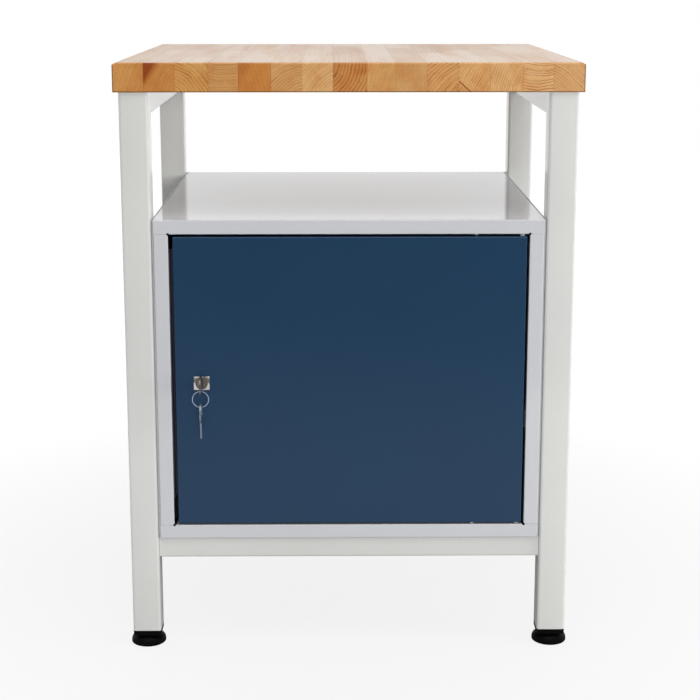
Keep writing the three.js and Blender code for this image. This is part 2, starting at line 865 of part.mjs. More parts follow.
function lockPlug() {
  const shankHalf = shankSide / 2;
  const slotHalf = keyThickness / 2 + runningFit;
  const slotEdge = bladeHeight / 2 + runningFit;
  return cut(
    join(
      rodY(plugRadius, 0, 0, plugFace, camFront - seam),
      block(-shankHalf, shankHalf, camFront - shankHalf, camRear - seam, -shankHalf, shankHalf),
    ),
    block(-slotHalf, slotHalf, plugFace - sheet, bladeTip + runningFit, -slotEdge, slotEdge),
    rodY(camScrewRadius + runningFit, 0, 0, camRear - camScrewDepth - runningFit, camRear + sheet),
  );
}

// The cam hangs down when the door is free, and points to the frame when locked.
function lockCam() {
  const half = camWidth / 2;
  const outline = new THREE.Shape();
  outline.absarc(0, 0, half, 0, Math.PI);
  outline.lineTo(-half, -camReach);
  outline.lineTo(half, -camReach);
  outline.closePath();
  const hole = shankSide / 2 + runningFit;
  const bar = alongY(outline, camThickness, cornerSteps * 2).translate(0, camFront, 0);
  return cut(bar, block(-hole, hole, camFront - sheet, camRear + sheet, -hole, hole));
}

function camScrew() {
  const seat = camRear + seam;
  return join(
    rodY(camScrewHeadRadius, 0, 0, seat, seat + camScrewHeadHeight),
    rodY(camScrewRadius, 0, 0, camRear - camScrewDepth, seat + camScrewHeadHeight / 2),
  );
}

addPiece(lock, 'lock_body', lockBody(), nickel);
addPiece(lock, 'lock_nut', lockNut(), zinc);
addPiece(lock, 'lock_plug', lockPlug(), nickel);
addPiece(lock, 'lock_cam', lockCam(), zinc);
addPiece(lock, 'cam_screw', camScrew(), zinc);

// Flat key, drawn as it stands in the lock: bow to the front, blade to the back.
function flatKey() {
  const blade = bladeHeight / 2;
  const shoulder = shoulderHeight / 2;
  const shoulderBack = collarFront - runningFit;
  const shoulderAngle = Math.asin(shoulder / bowRadius);
  const outline = new THREE.Shape();
  outline.absarc(bowCentre, 0, bowRadius, shoulderAngle, 2 * Math.PI - shoulderAngle);
  outline.lineTo(shoulderBack, -shoulder);
  outline.lineTo(shoulderBack, -blade);
  outline.lineTo(bladeTip - biteDepth, -blade);
  outline.lineTo(bladeTip, -blade + biteDepth);
  outline.lineTo(bladeTip, blade - biteDepth);
  outline.lineTo(bladeTip - biteDepth, blade);
  for (let i = 0; i < biteCount; i += 1) {
    const start = bladeTip - biteDepth - (2 * i + 1) * biteWidth;
    outline.lineTo(start + biteWidth / 2, blade);
    outline.lineTo(start, blade - biteDepth);
    outline.lineTo(start - biteWidth / 2, blade);
  }
  outline.lineTo(shoulderBack, blade);
  outline.lineTo(shoulderBack, shoulder);
  outline.closePath();
  const hole = new THREE.Path();
  hole.absarc(bowHole, 0, bowHoleRadius, 0, 2 * Math.PI, true);
  outline.holes.push(hole);
  return alongX(outline, keyThickness, roundSides);
}

addPiece(lock, 'door_key', flatKey(), nickel);

// The ring hangs in the key's bow and the spare key hangs in the ring.
const ringMiddle = -ringTopDrop - ringRadius;
const ring = new THREE.TorusGeometry(ringRadius, ringWire, wireSides, ringSides).rotateX(Math.PI / 2);
addPiece(lock, 'key_ring', geometryOf(solid(ring)), nickel, 0, bowHole, ringMiddle);

const spareHole = ringMiddle - ringRadius - ringTopDrop;
const spare = addPiece(lock, 'spare_key', flatKey(), nickel, 0, bowHole, spareHole + bowHole);
spare.rotation.x = -Math.PI / 2;

// The origin lies on the floor, under the middle of the overall depth with the keys in place.
bench.position.y = (keyReach - frontOverhang) / 2;

const product = new THREE.Group();
product.add(bench);

export default product;
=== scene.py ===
import json
import math
import random

import bmesh
import bpy
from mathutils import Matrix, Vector

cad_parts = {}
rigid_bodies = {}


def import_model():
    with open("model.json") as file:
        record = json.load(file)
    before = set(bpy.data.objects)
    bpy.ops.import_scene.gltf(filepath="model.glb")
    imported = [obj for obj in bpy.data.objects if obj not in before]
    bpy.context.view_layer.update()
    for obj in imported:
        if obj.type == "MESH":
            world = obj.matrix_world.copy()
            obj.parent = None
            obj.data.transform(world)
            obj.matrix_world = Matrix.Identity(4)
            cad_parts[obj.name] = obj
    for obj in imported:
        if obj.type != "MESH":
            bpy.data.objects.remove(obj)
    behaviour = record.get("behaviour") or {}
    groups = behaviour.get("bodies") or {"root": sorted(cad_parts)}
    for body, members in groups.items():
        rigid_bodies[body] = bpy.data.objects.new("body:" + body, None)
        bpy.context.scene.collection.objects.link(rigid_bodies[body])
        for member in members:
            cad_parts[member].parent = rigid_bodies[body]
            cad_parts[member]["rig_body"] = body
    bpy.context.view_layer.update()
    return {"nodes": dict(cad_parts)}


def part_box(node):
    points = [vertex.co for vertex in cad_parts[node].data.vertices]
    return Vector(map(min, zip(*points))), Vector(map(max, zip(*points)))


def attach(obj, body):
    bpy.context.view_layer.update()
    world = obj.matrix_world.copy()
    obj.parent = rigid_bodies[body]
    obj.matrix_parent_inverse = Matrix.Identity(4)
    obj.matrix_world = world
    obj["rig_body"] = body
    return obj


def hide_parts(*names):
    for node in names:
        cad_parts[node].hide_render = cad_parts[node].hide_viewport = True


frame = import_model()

scene = bpy.context.scene
scene.view_settings.view_transform = "Standard"


# Camera. The photograph was taken from a little above the worktop, almost square to
# the door, with a long lens.
camera_data = bpy.data.cameras.new("camera")
camera = bpy.data.objects.new("camera", camera_data)
scene.collection.objects.link(camera)
scene.camera = camera
camera_data.sensor_width = 36
camera_data.lens = 80.5
camera_data.shift_y = -0.075
camera_data.clip_end = 50
camera.location = (-0.020, -2.4117, 0.952)
TILT_DOWN = math.radians(11.55)
TURN_RIGHT = math.radians(0.57)
camera.rotation_euler = (math.radians(90) - TILT_DOWN, 0, -TURN_RIGHT)


# Worktop: beech staves glued side by side, running front to back, each of them finger
# jointed from shorter lengths. Sanded, with eased edges, and oiled; its front edge shows
# the staves' end grain.
def linear(red, green, blue):
    """A colour picked as 0 to 255 on screen, as the linear values a shader takes."""
    def channel(value):
        share = value / 255
        if share <= 0.04045:
            return share / 12.92
        return ((share + 0.055) / 1.055) ** 2.4
    return (channel(red), channel(green), channel(blue), 1)


def add_node(tree, kind, x=0, y=0, **settings):
    node = tree.nodes.new("ShaderNode" + kind)
    node.location = (x, y)
    for name, value in settings.items():
        setattr(node, name, value)
    return node


def feed(tree, socket, value):
    """Sets a socket to a number, or links another node's socket to it."""
    if isinstance(value, (int, float)):
        socket.default_value = value
    else:
        tree.links.new(value, socket)


def math_node(tree, operation, first, second, x=0, y=0):
    """A Math node whose two inputs are each a number or another node's socket."""
    node = add_node(tree, "Math", x, y, operation=operation)
    feed(tree, node.inputs[0], first)
    feed(tree, node.inputs[1], second)
    return node.outputs[0]


def times_plus(tree, value, factor, offset, x=0, y=0):
    """The value times a factor, plus an offset."""
    node = add_node(tree, "Math", x, y, operation="MULTIPLY_ADD")
    for socket, number in zip(node.inputs, (value, factor, offset)):
        feed(tree, socket, number)
    return node.outputs[0]


def remap(tree, value, low_in, high_in, low_out, high_out, x=0, y=0, blend="LINEAR"):
    """One range of values turned into another, and held beyond its ends."""
    node = add_node(tree, "MapRange", x, y, interpolation_type=blend)
    for socket, number in zip(node.inputs[1:5], (low_in, high_in, low_out, high_out)):
        socket.default_value = number
    tree.links.new(value, node.inputs["Value"])
    return node.outputs[0]


def noise(tree, place, scale, detail=2, x=0, y=0):
    node = add_node(tree, "TexNoise", x, y)
    feed(tree, node.inputs["Scale"], scale)
    node.inputs["Detail"].default_value = detail
    tree.links.new(place, node.inputs["Vector"])
    return node.outputs["Fac"]


def bump(tree, height, strength, distance, x=0, y=0, invert=False):
    node = add_node(tree, "Bump", x, y, invert=invert)
    feed(tree, node.inputs["Strength"], strength)
    node.inputs["Distance"].default_value = distance
    tree.links.new(height, node.inputs["Height"])
    return node.outputs[0]


def mix_colours(tree, factor, first, second, x=0, y=0):
    """The first colour where the factor is 0, and the second where it is 1."""
    node = add_node(tree, "Mix", x, y, data_type="RGBA")
    node.inputs["A"].default_value = first
    node.inputs["B"].default_value = second
    tree.links.new(factor, node.inputs["Factor"])
    return node.outputs["Result"]


def darken(tree, colour, factor, tint, x=0, y=0):
    """The colour multiplied by a tint where the factor is 1."""
    node = add_node(tree, "Mix", x, y, data_type="RGBA", blend_type="MULTIPLY")
    node.inputs["B"].default_value = tint
    tree.links.new(factor, node.inputs["Factor"])
    tree.links.new(colour, node.inputs["A"])
    return node.outputs["Result"]


def new_group(name, inputs):
    """A node group that makes a surface, with its input sockets and those to fill."""
    tree = bpy.data.node_groups.new(name, "ShaderNodeTree")
    for socket, kind in inputs:
        tree.interface.new_socket(socket, in_out="INPUT", socket_type="NodeSocket" + kind)
    for socket, kind in (("Colour", "Color"), ("Roughness", "Float"), ("Normal", "Vector")):
        tree.interface.new_socket(socket, in_out="OUTPUT", socket_type="NodeSocket" + kind)
    start = tree.nodes.new("NodeGroupInput")
    end = tree.nodes.new("NodeGroupOutput")
    start.location = (-1200, 0)
    end.location = (600, 0)
    return tree, start.outputs, end.inputs


def new_material(name):
    material = bpy.data.materials.new(name)
    material.use_nodes = True
    return material, material.node_tree, material.node_tree.nodes["Principled BSDF"]


def group_material(name, group, **settings):
    """A material whose colour, roughness and normal come from a node group."""
    material, tree, shader = new_material(name)
    surface = add_node(tree, "Group", -260, 200, node_tree=group)
    for socket, value in settings.items():
        surface.inputs[socket].default_value = value
    tree.links.new(surface.outputs["Colour"], shader.inputs["Base Color"])
    tree.links.new(surface.outputs["Roughness"], shader.inputs["Roughness"])
    tree.links.new(surface.outputs["Normal"], shader.inputs["Normal"])
    return material, shader, surface


SHARP = math.radians(32)  # edges that turn more than this are edges of the piece
FLAT = math.radians(0.5)  # and less than this, only lines across a flat face
WELD = 2e-6  # corners closer than this are one
SHORTEST_FOLD = 0.1
LEAST_FOLD = 1  # in radians


def finished_copy(node, material, edge, fold=0):
    """A copy of a CAD node with rounded edges. Long edges of its front face are folds
    of the sheet and get the larger radius."""
    source = frame["nodes"][node]
    bm = bmesh.new()
    bm.from_mesh(source.data)
    bmesh.ops.remove_doubles(bm, verts=bm.verts, dist=WELD)
    bmesh.ops.dissolve_limit(bm, angle_limit=FLAT, verts=bm.verts, edges=bm.edges)
    if fold:
        front = min(v.co.y for v in bm.verts)
        folds = [
            e for e in bm.edges
            if e.calc_length() > SHORTEST_FOLD and all(abs(v.co.y - front) < 1e-5 for v in e.verts)
            and len(e.link_faces) == 2 and e.calc_face_angle() > LEAST_FOLD
        ]
        bmesh.ops.bevel(bm, geom=folds, offset=fold, segments=4, profile=0.5,
                        affect="EDGES", clamp_overlap=False)
    mesh = bpy.data.meshes.new(node + "_finish")
    bm.to_mesh(mesh)
    bm.free()
    if "custom_normal" in mesh.attributes:
        mesh.attributes.remove(mesh.attributes["custom_normal"])
    mesh.materials.clear()
    mesh.materials.append(material)
    for polygon in mesh.polygons:
        polygon.use_smooth = True
        polygon.material_index = 0
    mesh.set_sharp_from_angle(angle=SHARP)
    piece = bpy.data.objects.new(node + "_finish", mesh)
    scene.collection.objects.link(piece)
    if edge:
        bevel = piece.modifiers.new("edges", "BEVEL")
        bevel.width = edge
        bevel.segments = 2
        bevel.limit_method = "ANGLE"
        bevel.angle_limit = SHARP
        bevel.harden_normals = True
    if fold:
        flat = piece.modifiers.new("flat_sheet", "WEIGHTED_NORMAL")
        flat.mode = "FACE_AREA"
        flat.weight = 100
        flat.keep_sharp = True
    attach(piece, source["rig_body"])
    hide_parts(node)
    return piece


# Each stave from the left: its right edge as a share of the width, the heart of its
# tree from the stave's middle (across, up) and the ring spacing in millimetres, how
# strongly the rings show, and the colour of its end.
STAVES = [
    (0.066, 94, -36, 3.2, 0.50, (206, 149, 84)),
    (0.132, 90, -42, 2.7, 0.55, (200, 139, 74)),
    (0.202, -42, -44, 4.4, 0.85, (210, 159, 92)),
    (0.266, 4, 120, 3.4, 0.55, (202, 150, 92)),
    (0.335, -115, -32, 2.3, 0.50, (199, 134, 67)),
    (0.400, 26, -46, 3.7, 0.65, (208, 159, 102)),
    (0.466, 45, -46, 3.6, 0.60, (217, 173, 118)),
    (0.538, -46, 20, 4.6, 1.00, (201, 142, 79)),
    (0.599, 110, -34, 2.4, 0.40, (210, 162, 102)),
    (0.665, 140, 4, 2.3, 0.35, (206, 159, 104)),
    (0.732, 70, -72, 4.4, 0.95, (210, 157, 98)),
    (0.799, 85, -50, 3.6, 0.60, (216, 167, 108)),
    (0.868, 78, -30, 3.4, 0.65, (218, 173, 118)),
    (0.933, 2, 96, 4.4, 0.95, (222, 179, 126)),
    (1.000, -66, -76, 3.4, 0.60, (214, 167, 114)),
]
STAINED_STAVES = {1: 1.0, 4: 0.35, 7: 0.25}  # dark heartwood in the upper left corner
STAIN_WIDTH = 0.024
STAIN_HEIGHT = 0.034
CHECKED_STAVE = 11  # a drying crack across its lower left corner
CRACK_RISE = 0.015  # above the underside, at the stave's left edge
CRACK_ACROSS = (0.67, 0.74)  # square to the crack
SHORTEST_LENGTH = 0.13
LONGEST_LENGTH = 0.42
FACE_STRENGTH = 0.28  # of the rings where they are cut lengthwise
LENGTH_COLOURS = [
    (203, 179, 156), (210, 191, 173), (199, 174, 152),
    (212, 193, 176), (206, 181, 164), (208, 187, 165),
]
low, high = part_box("worktop")

grain, grain_in, grain_out = new_group(
    "beech_grain",
    [("Colour", "Color"), ("Heart", "Vector"), ("Spacing", "Float"), ("Strength", "Float"),
     ("Span", "Vector"), ("MarksAndRimShade", "Vector")],
)


def grain_noise(scale, detail, y):
    """Noise drawn out along the grain."""
    return noise(grain, stretch.outputs[0], scale, detail, -840, y)


place = add_node(grain, "TexCoord", -1200, 300)
from_heart = add_node(grain, "VectorMath", -1000, 200, operation="SUBTRACT")
grain.links.new(place.outputs["Object"], from_heart.inputs[0])
grain.links.new(grain_in["Heart"], from_heart.inputs[1])
across = add_node(grain, "VectorMath", -840, 200, operation="MULTIPLY")
across.inputs[1].default_value = (1, 0, 1)
grain.links.new(from_heart.outputs[0], across.inputs[0])
radius = add_node(grain, "VectorMath", -680, 200, operation="LENGTH")
grain.links.new(across.outputs[0], radius.inputs[0])
stretch = add_node(grain, "Mapping", -1000, -100)
stretch.inputs["Scale"].default_value = (1, 0.08, 1)
grain.links.new(place.outputs["Object"], stretch.inputs["Vector"])

# Growth rings: circles round the heart that wander and differ in width, each one fading
# in to its dark late wood and ending sharply.
wide_bend = math_node(grain, "MULTIPLY", grain_noise(40, 2, -100), 0.006, -660, -100)
fine_bend = math_node(grain, "MULTIPLY", grain_noise(260, 2, -250), 0.0012, -660, -250)
bend = math_node(grain, "ADD", wide_bend, fine_bend, -500, -150)
bent = math_node(grain, "ADD", radius.outputs["Value"], bend, -500, 100)
years = math_node(grain, "DIVIDE", bent, grain_in["Spacing"], -360, 100)
weather = add_node(grain, "TexNoise", -360, 300, noise_dimensions="1D")
weather.inputs["Scale"].default_value = 0.7
weather.inputs["Detail"].default_value = 0
grain.links.new(years, weather.inputs["W"])
fat_and_lean = math_node(grain, "MULTIPLY", weather.outputs["Fac"], 0.8, -220, 300)
age = math_node(grain, "ADD", years, fat_and_lean, -220, 100)
year = math_node(grain, "FRACT", age, 0, -80, 100)
ring = add_node(grain, "ValToRGB", 60, 100)
ring.color_ramp.elements[0].color = (0.02, 0.02, 0.02, 1)
ring.color_ramp.elements[1].color = (0.05, 0.05, 0.05, 1)
for position, level in ((0.42, 0.1), (0.7, 0.45), (0.84, 1.0), (0.92, 0.7)):
    ring.color_ramp.elements.new(position).color = (level, level, level, 1)
grain.links.new(year, ring.inputs["Fac"])
clearness = remap(grain, grain_noise(55, 2, -400), 0.35, 0.65, 0.45, 1.1, 60, -150)
ring_level = math_node(grain, "MULTIPLY", ring.outputs["Color"], math_node(
    grain, "MULTIPLY", clearness, grain_in["Strength"], 220, -100), 360, 100)
colour = darken(grain, grain_in["Colour"], ring_level, linear(184, 140, 106), 520, 200)

# Pores, drawn out along the grain, and slow changes of tone.
pores = remap(grain, grain_noise(900, 2, -550), 0.52, 0.75, 0, 1, -660, -550)
pore_level = math_node(grain, "MULTIPLY", pores, 0.45, 520, -100)
colour = darken(grain, colour, pore_level, linear(205, 172, 138), 680, 200)
tawny = remap(grain, grain_noise(30, 3, -700), 0.45, 0.75, 0, 0.8, -660, -700)
colour = darken(grain, colour, tawny, linear(236, 206, 172), 840, 200)

# Heartwood stain in a corner, a drying crack, the dark lines along the glued joints, and
# painted shade: a dark line along the lower and outer edges of the ends.
spot = add_node(grain, "SeparateXYZ", -1000, 500)
grain.links.new(place.outputs["Object"], spot.inputs[0])
span = add_node(grain, "SeparateXYZ", -1000, 650)
grain.links.new(grain_in["Span"], span.inputs[0])
marks_and_rim_shade = add_node(grain, "SeparateXYZ", -1000, 800)
grain.links.new(grain_in["MarksAndRimShade"], marks_and_rim_shade.inputs[0])
from_left = math_node(grain, "SUBTRACT", spot.outputs["X"], span.outputs["X"], -800, 650)
from_right = math_node(grain, "SUBTRACT", span.outputs["Y"], spot.outputs["X"], -800, 500)
from_top = math_node(grain, "SUBTRACT", high.z, spot.outputs["Z"], -800, 800)
corner = math_node(grain, "ADD", math_node(grain, "DIVIDE", from_left, STAIN_WIDTH, -640, 900),
                   math_node(grain, "DIVIDE", from_top, STAIN_HEIGHT, -640, 800), -480, 850)
stain_level = remap(grain, corner, 0.6, 1.05, 1, 0, -320, 850)
stain = math_node(grain, "MULTIPLY", stain_level, marks_and_rim_shade.outputs["X"], -160, 850)
colour = darken(grain, colour, stain, linear(194, 142, 98), 1000, 200)
above_crack = math_node(grain, "SUBTRACT", spot.outputs["Z"], low.z + CRACK_RISE, -800, 1000)
crack_right = math_node(grain, "MULTIPLY", from_left, CRACK_ACROSS[0], -640, 1100)
crack_up = math_node(grain, "MULTIPLY", above_crack, CRACK_ACROSS[1], -640, 1000)
crack_line = math_node(grain, "ADD", crack_right, crack_up, -480, 1050)
from_crack = math_node(grain, "ABSOLUTE", crack_line, 0, -320, 1050)
crack = remap(grain, from_crack, 0.0003, 0.0009, 1, 0, -160, 1050)
cracked = math_node(grain, "MULTIPLY", crack, marks_and_rim_shade.outputs["Y"], 0, 1050)
colour = darken(grain, colour, cracked, linear(120, 78, 52), 1160, 200)
from_joint = math_node(grain, "MINIMUM", from_left, from_right, -640, 550)
joint = remap(grain, from_joint, 0, 0.0008, 0.3, 0, -480, 550)
colour = darken(grain, colour, joint, linear(170, 120, 80), 1320, 200)
# Painted shade: the ends darken towards their lower and outer edges.
from_middle = math_node(grain, "ABSOLUTE", spot.outputs["X"], 0, -800, 1250)
outer = math_node(grain, "SUBTRACT", high.x, from_middle, -640, 1250)
above = math_node(grain, "SUBTRACT", spot.outputs["Z"], low.z, -640, 1400)
from_rim = math_node(grain, "MINIMUM", outer, above, -480, 1300)
painted_rim_shade = remap(grain, from_rim, 0.0006, 0.0022, 0.85, 0, -320, 1300)
painted_rim_shade_level = math_node(grain, "MULTIPLY", painted_rim_shade, marks_and_rim_shade.outputs["Z"], -160, 1300)
colour = darken(grain, colour, painted_rim_shade_level, linear(118, 92, 76), 1480, 200)
grain.links.new(colour, grain_out["Colour"])
rough = times_plus(grain, pores, 0.18, 0.42, 260, -500)
grain.links.new(rough, grain_out["Roughness"])
hollows = bump(grain, pores, 0.25, 0.0002, 420, -350, invert=True)
grain.links.new(hollows, grain_out["Normal"])

beech, shader, fibres = group_material("oiled_beech", grain)
tree = beech.node_tree
for attribute, output, socket in (
    ("stave_colour", "Color", "Colour"),
    ("stave_heart", "Vector", "Heart"),
    ("stave_spacing", "Fac", "Spacing"),
    ("stave_strength", "Fac", "Strength"),
    ("stave_span", "Vector", "Span"),
    ("stave_marks_and_rim_shade", "Vector", "MarksAndRimShade"),
):
    reader = add_node(tree, "Attribute", -520, 200, attribute_name=attribute)
    tree.links.new(reader.outputs[output], fibres.inputs[socket])
shader.inputs["Specular IOR Level"].default_value = 0.35
shader.inputs["Coat Weight"].default_value = 0.1
shader.inputs["Coat Roughness"].default_value = 0.3

worktop = finished_copy("worktop", beech, edge=0.001)
dice = random.Random(7)
bm = bmesh.new()
bm.from_mesh(worktop.data)
edges = [low.x] + [low.x + stave[0] * (high.x - low.x) for stave in STAVES]
for x in edges[1:-1]:
    bmesh.ops.bisect_plane(bm, geom=bm.verts[:] + bm.edges[:] + bm.faces[:], dist=1e-6,
                           plane_co=(x, 0, 0), plane_no=(1, 0, 0))
colours = bm.faces.layers.float_color.new("stave_colour")
hearts = bm.faces.layers.float_vector.new("stave_heart")
spacings = bm.faces.layers.float.new("stave_spacing")
strengths = bm.faces.layers.float.new("stave_strength")
spans = bm.faces.layers.float_vector.new("stave_span")
marked_and_rim_shaded = bm.faces.layers.float_vector.new("stave_marks_and_rim_shade")
for i, (_, heart_x, heart_z, spacing, strength, end_colour) in enumerate(STAVES):
    left, right = edges[i], edges[i + 1]
    middle = Vector(((left + right) / 2, 0, (low.z + high.z) / 2))

    def in_stave():
        return [f for f in bm.faces if left < f.calc_center_median().x < right]

    cuts = [low.y]
    while cuts[-1] < high.y:
        cuts.append(cuts[-1] + dice.uniform(SHORTEST_LENGTH, LONGEST_LENGTH))
    for y in cuts[1:-1]:
        faces = [f for f in in_stave() if abs(f.normal.y) < 0.5]
        borders = list({e for f in faces for e in f.edges})
        corners = list({v for f in faces for v in f.verts})
        bmesh.ops.bisect_plane(bm, geom=faces + borders + corners, dist=1e-6,
                               plane_co=(0, y, 0), plane_no=(0, 1, 0))
    lengths = [(dice.choice(LENGTH_COLOURS), dice.uniform(-1, 1)) for _ in cuts]
    for face in in_stave():
        heart = middle + Vector((heart_x / 1000, 0, heart_z / 1000))
        if abs(face.normal.y) > 0.5:
            face[colours] = linear(*end_colour)
            face[strengths] = strength
            # The third mark is 1 on the ends, where the painted shade along the lower and outer
            # edges goes.
            face[marked_and_rim_shaded] = (STAINED_STAVES.get(i, 0), float(i == CHECKED_STAVE), 1)
        else:
            part = sum(face.calc_center_median().y > y for y in cuts[1:])
            colour, turn = lengths[part]
            face[colours] = linear(*colour)
            face[strengths] = FACE_STRENGTH
            heart += Vector((0.05 * turn, 0, -0.06 * turn)) if part else Vector()
        face[spacings] = spacing / 1000
        face[hearts] = heart
        face[spans] = (left, right, 0)
bm.to_mesh(worktop.data)
bm.free()


# Leg frame: legs and rails of square steel tube, welded, ground and powder coated in a
# warm light grey. The coat is slightly uneven, like fine orange peel.
coat, coat_in, coat_out = new_group(
    "powder_coat",
    [("Colour", "Color"), ("Roughness", "Float"), ("Grain", "Float"), ("Peel", "Float")],
)
place = add_node(coat, "TexCoord", -1200, 300).outputs["Object"]
peel = noise(coat, place, coat_in["Grain"], 2, -900, 100)
cloud = noise(coat, place, 6, 3, -900, -200)
fleck = times_plus(coat, peel, 0.06, 0.97, -640, 100)
shade = remap(coat, cloud, 0.3, 0.7, 0.975, 1.025, -640, -200)
tinted = add_node(coat, "HueSaturation", -200, 200)
coat.links.new(coat_in["Colour"], tinted.inputs["Color"])
coat.links.new(math_node(coat, "MULTIPLY", fleck, shade, -420, 0), tinted.inputs["Value"])
coat.links.new(tinted.outputs[0], coat_out["Colour"])
patchy = times_plus(coat, cloud, 0.3, 0.85, -420, -300)
uneven = math_node(coat, "MULTIPLY", coat_in["Roughness"], patchy, -200, -300)
coat.links.new(uneven, coat_out["Roughness"])
coat.links.new(bump(coat, peel, coat_in["Peel"], 0.0002, -200, -100), coat_out["Normal"])


def powder_coat(name, colour, roughness, grain_scale, peel, gloss=0.5):
    material, shader, _ = group_material(
        name, coat, Colour=colour, Roughness=roughness, Grain=grain_scale, Peel=peel)
    shader.inputs["Specular IOR Level"].default_value = gloss
    return material


frame_paint = powder_coat("frame_powder_coat", linear(216, 216, 213), 0.14, 500, 0.02)
CORNERS = ("front_left", "front_right", "rear_left", "rear_right")
for corner in CORNERS:
    finished_copy("leg_" + corner, frame_paint, edge=0.0003)
    finished_copy("worktop_tab_" + corner, frame_paint, edge=0.0005)
for rail in ("lower_rail_front", "lower_rail_rear", "lower_rail_left", "lower_rail_right",
             "upper_rail_left", "upper_rail_right"):
    finished_copy(rail, frame_paint, edge=0.0003)


# Leg plugs and levelling pads: injection moulded black polyamide with a fine satin
# grain. The plugs are pressed into the leg tubes and the pads clipped to the studs.
moulded, tree, shader = new_material("moulded_black_plastic")
place = add_node(tree, "TexCoord", -900, 0).outputs["Object"]
satin = noise(tree, place, 1800, 2, -700, 0)
dust = noise(tree, place, 45, 4, -700, 250)
dusty = mix_colours(tree, dust, linear(5, 5, 5), linear(12, 12, 11), -440, 250)
tree.links.new(dusty, shader.inputs["Base Color"])
shader.inputs["Specular IOR Level"].default_value = 0.05
tree.links.new(times_plus(tree, dust, 0.2, 0.36, -440, 0), shader.inputs["Roughness"])
tree.links.new(bump(tree, satin, 0.1, 0.0001, -260, -200), shader.inputs["Normal"])
for corner in CORNERS:
    finished_copy("leg_plug_" + corner, moulded, edge=0.0012)
    finished_copy("levelling_pad_" + corner, moulded, edge=0.0006)


# Studs of the feet and the screws of the worktop: zinc plated steel, turned and rolled,
# mostly hidden inside the legs and under the worktop.
plated, plated_in, plated_out = new_group(
    "plated_metal", [("Colour", "Color"), ("Roughness", "Float")])
place = add_node(plated, "TexCoord", -1100, 0).outputs["Object"]
smear = noise(plated, place, 120, 4, -900, 200)
scratch = noise(plated, place, 2500, 2, -900, -100)
dull = add_node(plated, "HueSaturation", -200, 200)
plated.links.new(plated_in["Colour"], dull.inputs["Color"])
plated.links.new(times_plus(plated, smear, 0.14, 0.93, -600, 200), dull.inputs["Value"])
plated.links.new(dull.outputs[0], plated_out["Colour"])
wear = times_plus(plated, smear, 0.3, 0.85, -600, 0)
worn = math_node(plated, "MULTIPLY", plated_in["Roughness"], wear, -400, 0)
plated.links.new(worn, plated_out["Roughness"])
plated.links.new(bump(plated, scratch, 0.08, 0.0001, -200, -200), plated_out["Normal"])


def plated_metal(name, colour, roughness):
    material, shader, _ = group_material(name, plated, Colour=colour, Roughness=roughness)
    shader.inputs["Metallic"].default_value = 1
    return material


zinc = plated_metal("zinc_plate", linear(196, 198, 200), 0.38)
for corner in CORNERS:
    finished_copy("levelling_stud_" + corner, zinc, edge=0)
    finished_copy("worktop_screw_" + corner, zinc, edge=0.0003)


# Cupboard: floor, top, walls and back of 1 mm sheet steel, folded, spot welded and
# powder coated in a smooth, cooler grey. The top is glossy and serves as a shelf.
cupboard_paint = powder_coat("cupboard_powder_coat", linear(203, 204, 208), 0.06, 300, 0.01)
for panel in ("cupboard_floor", "cupboard_top", "cupboard_wall_left", "cupboard_wall_right"):
    finished_copy(panel, cupboard_paint, edge=0.0002, fold=0.0016)
finished_copy("cupboard_back", cupboard_paint, edge=0.0003)


# Loose shelf inside the cupboard, folded from the same sheet, and the zinc plated clips
# that it lies on.
finished_copy("inner_shelf", cupboard_paint, edge=0.0003)
for corner in CORNERS:
    finished_copy("shelf_clip_" + corner, zinc, edge=0.0003)


# Buffer of the door: an angle of soft dark grey PVC, extruded and cut to length, with
# faint streaks along it. It is glued to the return of the left upright and to the door
# stop, and fills the bottom of the gap beside the door's free edge. Its dark grey is painted
# shade: a dark strip put in the gap where there is only shade.
painted_shade_strip, tree, shader = new_material("painted_shade_strip")
place = add_node(tree, "TexCoord", -900, 0)
extruded = add_node(tree, "Mapping", -700, 0)
extruded.inputs["Scale"].default_value = (1, 1, 0.05)
tree.links.new(place.outputs["Object"], extruded.inputs["Vector"])
streak = noise(tree, extruded.outputs[0], 900, 2, -520, 0)
# Painted shade: the strip's dark colours stand for the shade in the gap.
streaky = mix_colours(tree, streak, linear(56, 58, 72), linear(68, 70, 84), -300, 200)
tree.links.new(streaky, shader.inputs["Base Color"])
shader.inputs["Roughness"].default_value = 0.7
finished_copy("door_buffer", painted_shade_strip, edge=0.0003)


# Door: a tray of 1 mm sheet with folded edges and a hat section welded inside, powder
# coated dark blue with a fine texture. It hangs on two pivots at its right edge.
door_paint = powder_coat("door_powder_coat", linear(28, 58, 86), 0.3, 900, 0.12, gloss=0.28)
finished_copy("door_skin", door_paint, edge=0.0002, fold=0.0022)
finished_copy("door_stiffener", door_paint, edge=0.0003)


# Pivots: zinc plated steel pins and plates behind the front frame, held by rivets that
# were painted with the cupboard. Moulded grey nylon bushes in the door run on the pins.
nylon, tree, shader = new_material("grey_nylon")
place = add_node(tree, "TexCoord", -900, 0).outputs["Object"]
mould = noise(tree, place, 600, 2, -700, 0)
milky = mix_colours(tree, mould, linear(146, 155, 166), linear(164, 173, 183), -440, 200)
tree.links.new(milky, shader.inputs["Base Color"])
shader.inputs["Roughness"].default_value = 0.5
for end in ("upper", "lower"):
    finished_copy("hinge_plate_" + end, zinc, edge=0.0003)
    finished_copy("hinge_pin_" + end, zinc, edge=0.0002)
    finished_copy("hinge_rivet_" + end, cupboard_paint, edge=0.0001)
    finished_copy("hinge_bush_" + end, nylon, edge=0.0003)


